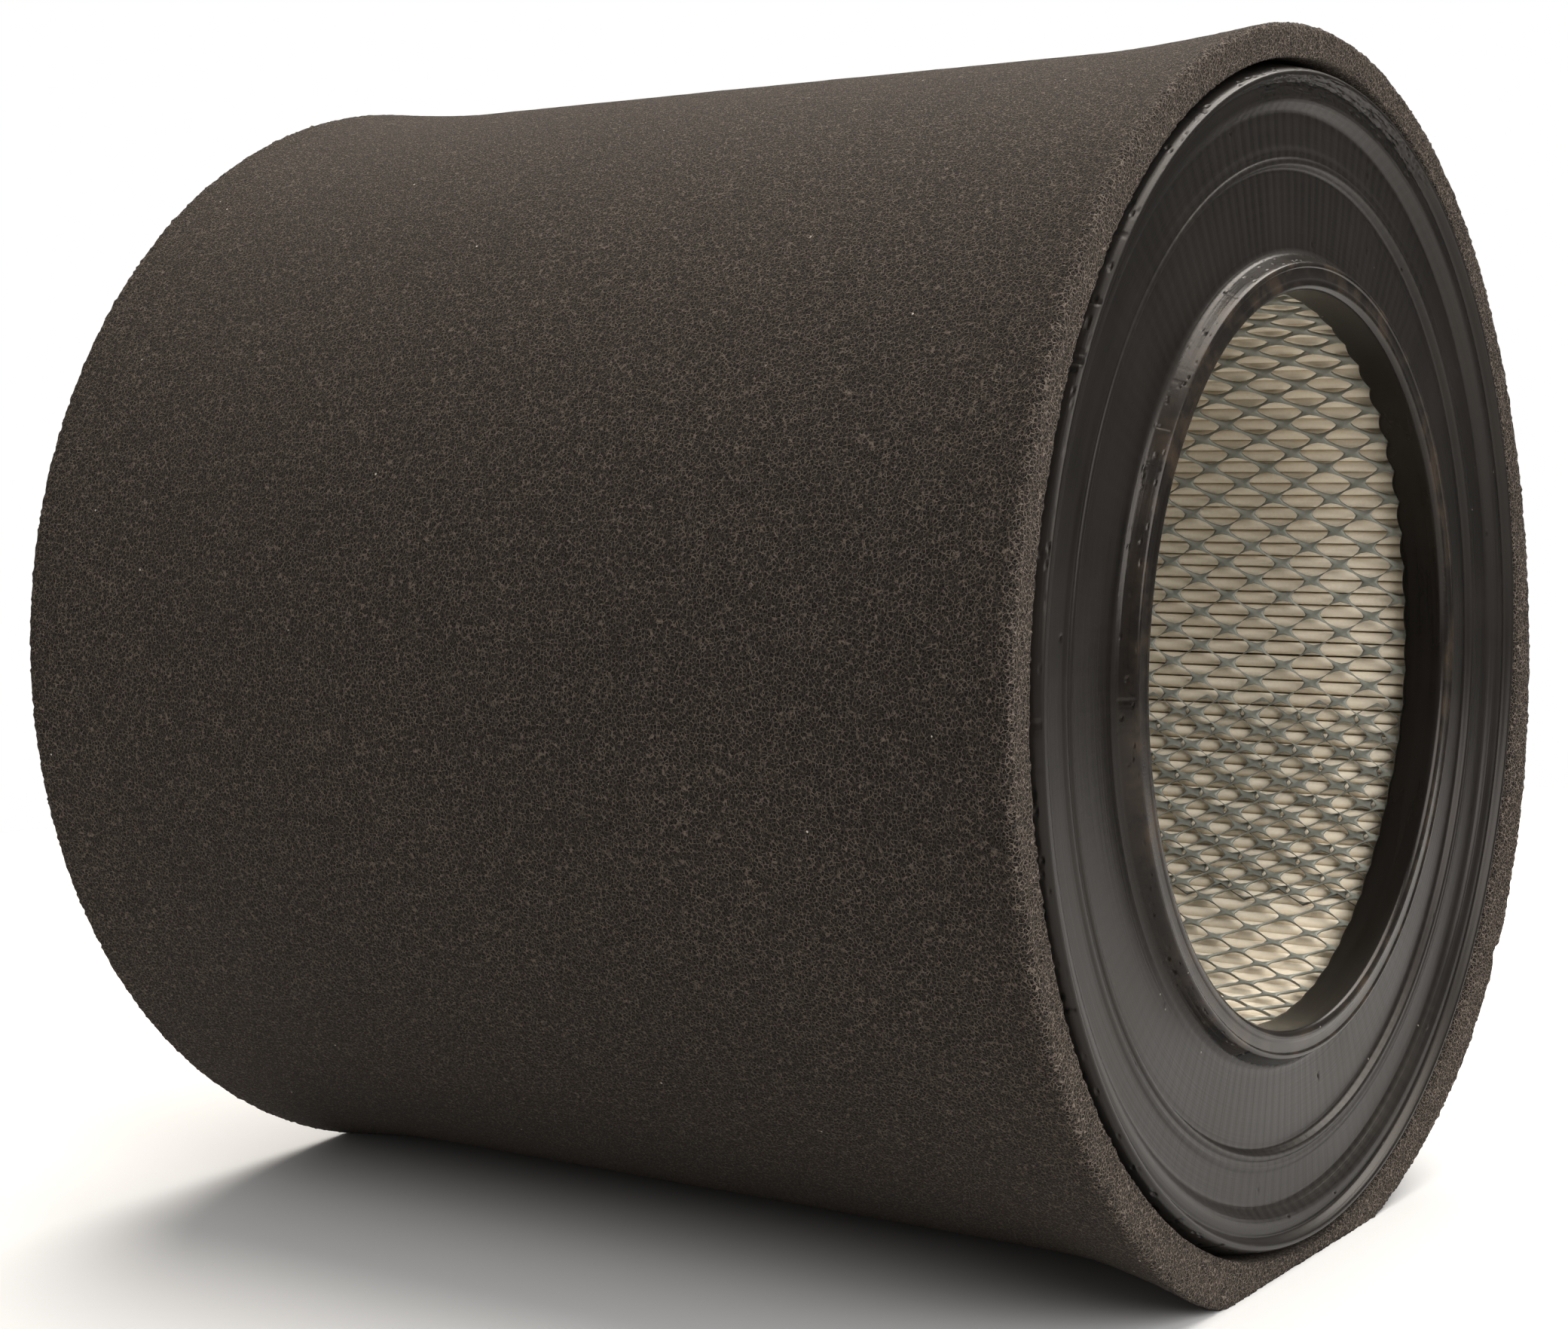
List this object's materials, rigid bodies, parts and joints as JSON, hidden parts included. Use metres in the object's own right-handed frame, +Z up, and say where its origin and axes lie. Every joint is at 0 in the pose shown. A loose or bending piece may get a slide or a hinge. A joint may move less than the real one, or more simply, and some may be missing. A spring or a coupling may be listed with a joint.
{
  "type": "air filter element with foam pre-cleaner",
  "caption": "Cylindrical pleated air filter element with moulded end caps, an expanded-steel core and a pull-off foam pre-cleaner sleeve.",
  "frame": {"origin": "centre of the outlet bore's mouth, where the straight bore wall ends", "axes": "+X along the element's axis, out of the outlet; +Z up with the element lying on its side; +Y completes the right-handed frame"},
  "size_m": [0.1956, 0.2044, 0.2008],
  "materials": {
    "cap_urethane": "satin cast polyurethane",
    "liner_steel": "dull galvanised expanded steel",
    "plate_steel": "dull galvanised sheet",
    "filter_paper": "resin-treated cellulose",
    "hot_melt": "satin hot-melt adhesive",
    "sleeve_foam": "open-cell polyurethane foam",
    "foam_adhesive": "matte contact adhesive"
  },
  "bodies": {
    "element": {"outlet_end_cap": "cap_urethane", "closed_end_cap": "cap_urethane", "closed_end_plate": "plate_steel", "inner_liner": "liner_steel", "outer_liner": "liner_steel", "pleated_media": "filter_paper", "media_seam_clip": "plate_steel", "pleat_beads": "hot_melt"},
    "sleeve": {"foam_sleeve": "sleeve_foam", "sleeve_joint": "foam_adhesive"}
  },
  "joints": [
    {"name": "sleeve_slide", "type": "slide", "parent": "element", "child": "sleeve", "axis": [1, 0, 0], "range_m": [0, 0.2]}
  ]
}
